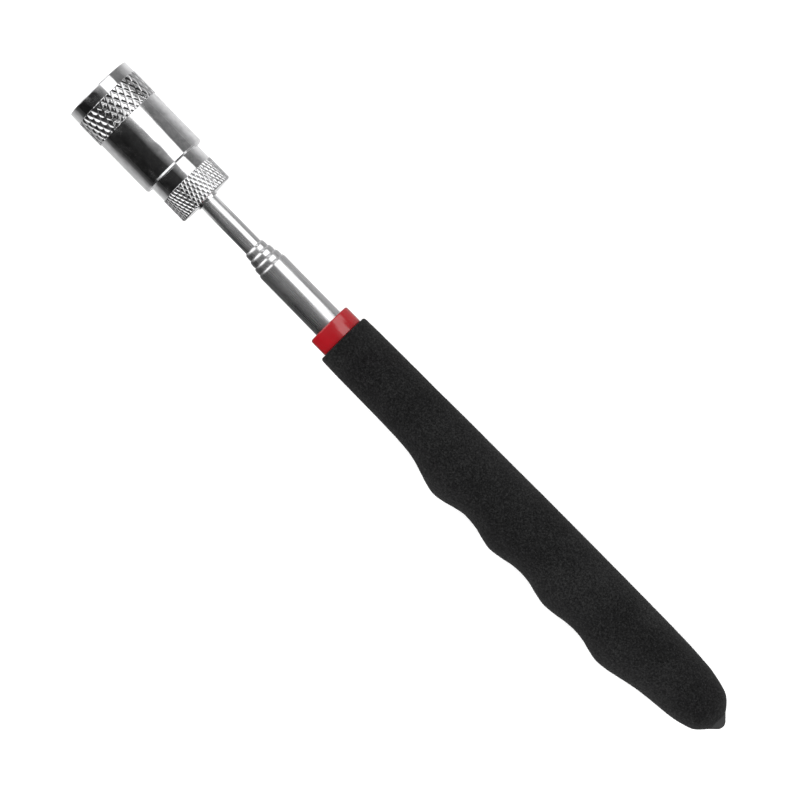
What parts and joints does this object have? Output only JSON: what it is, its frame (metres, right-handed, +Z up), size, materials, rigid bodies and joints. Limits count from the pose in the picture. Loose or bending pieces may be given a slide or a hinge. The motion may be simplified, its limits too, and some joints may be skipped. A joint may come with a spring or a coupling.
{
  "type": "magnetic pickup tool",
  "caption": "Telescoping magnetic pickup tool: knurled chrome head with ring magnet and lamp, nested chrome tubes, red collar and black foam grip with finger grooves.",
  "frame": {"origin": "centre of the base of the bounding box, with the closed tool lying on its side", "axes": "+X along the shaft towards the magnet, +Y towards the finger grooves, +Z up; the shaft's centre line is at y -0.82 mm, z 9.82 mm"},
  "size_m": [0.2282, 0.0213, 0.0196],
  "materials": {
    "chrome_turned": "polished",
    "chrome_tube": "polished",
    "nickel_plate": "satin",
    "steel": "satin",
    "cell_steel": "satin",
    "bronze": "satin",
    "clear_lamp": "gloss",
    "white_plastic": "satin",
    "board": "satin",
    "seal_rubber": "matte",
    "red_plastic": "gloss",
    "black_foam": "matte",
    "grey_plastic": "satin"
  },
  "bodies": {
    "handle": {"tube_5": "chrome_tube", "red_collar": "red_plastic", "foam_grip": "black_foam", "end_plug": "grey_plastic"},
    "sleeve_4": {"friction_sleeve_4": "bronze"},
    "section_4": {"tube_4": "chrome_tube"},
    "sleeve_3": {"friction_sleeve_3": "bronze"},
    "section_3": {"tube_3": "chrome_tube"},
    "sleeve_2": {"friction_sleeve_2": "bronze"},
    "section_2": {"tube_2": "chrome_tube"},
    "sleeve_1": {"friction_sleeve_1": "bronze"},
    "section_1": {"tube_1": "chrome_tube", "tail_cap": "chrome_turned", "shaft_washer": "steel", "contact_spring": "steel", "o_ring": "seal_rubber"},
    "battery": {"battery_liner": "white_plastic", "button_cell_1": "cell_steel", "button_cell_2": "cell_steel", "button_cell_3": "cell_steel"},
    "head": {"head_barrel": "chrome_turned", "ring_magnet": "nickel_plate", "pole_washer": "steel", "led": "clear_lamp", "led_leads": "steel", "led_holder": "white_plastic", "contact_board": "board", "contact_stud": "bronze"}
  },
  "joints": [
    {"name": "section_4_slide", "type": "slide", "parent": "handle", "child": "sleeve_4", "axis": [1, 0, 0], "range_m": [0, 0.147]},
    {"name": "section_4_turn", "type": "hinge", "parent": "sleeve_4", "child": "section_4", "pos_m": [0, -0.00082, 0.00982], "axis": [1, 0, 0], "continuous": true},
    {"name": "section_3_slide", "type": "slide", "parent": "section_4", "child": "sleeve_3", "axis": [1, 0, 0], "range_m": [0, 0.147]},
    {"name": "section_3_turn", "type": "hinge", "parent": "sleeve_3", "child": "section_3", "pos_m": [0, -0.00082, 0.00982], "axis": [1, 0, 0], "continuous": true},
    {"name": "section_2_slide", "type": "slide", "parent": "section_3", "child": "sleeve_2", "axis": [1, 0, 0], "range_m": [0, 0.143]},
    {"name": "section_2_turn", "type": "hinge", "parent": "sleeve_2", "child": "section_2", "pos_m": [0, -0.00082, 0.00982], "axis": [1, 0, 0], "continuous": true},
    {"name": "section_1_slide", "type": "slide", "parent": "section_2", "child": "sleeve_1", "axis": [1, 0, 0], "range_m": [0, 0.135]},
    {"name": "section_1_turn", "type": "hinge", "parent": "sleeve_1", "child": "section_1", "pos_m": [0, -0.00082, 0.00982], "axis": [1, 0, 0], "continuous": true},
    {"name": "head_screw_travel", "type": "slide", "parent": "section_1", "child": "battery", "axis": [1, 0, 0], "range_m": [-0.00019, 0.00413]},
    {"name": "head_screw", "type": "hinge", "parent": "battery", "child": "head", "pos_m": [0.09, -0.00082, 0.00982], "axis": [1, 0, 0], "range_deg": [-91, 1981]}
  ],
  "couplings": [
    {"joint": "head_screw", "follows": "head_screw_travel", "rad_per_m": 8377.6}
  ]
}
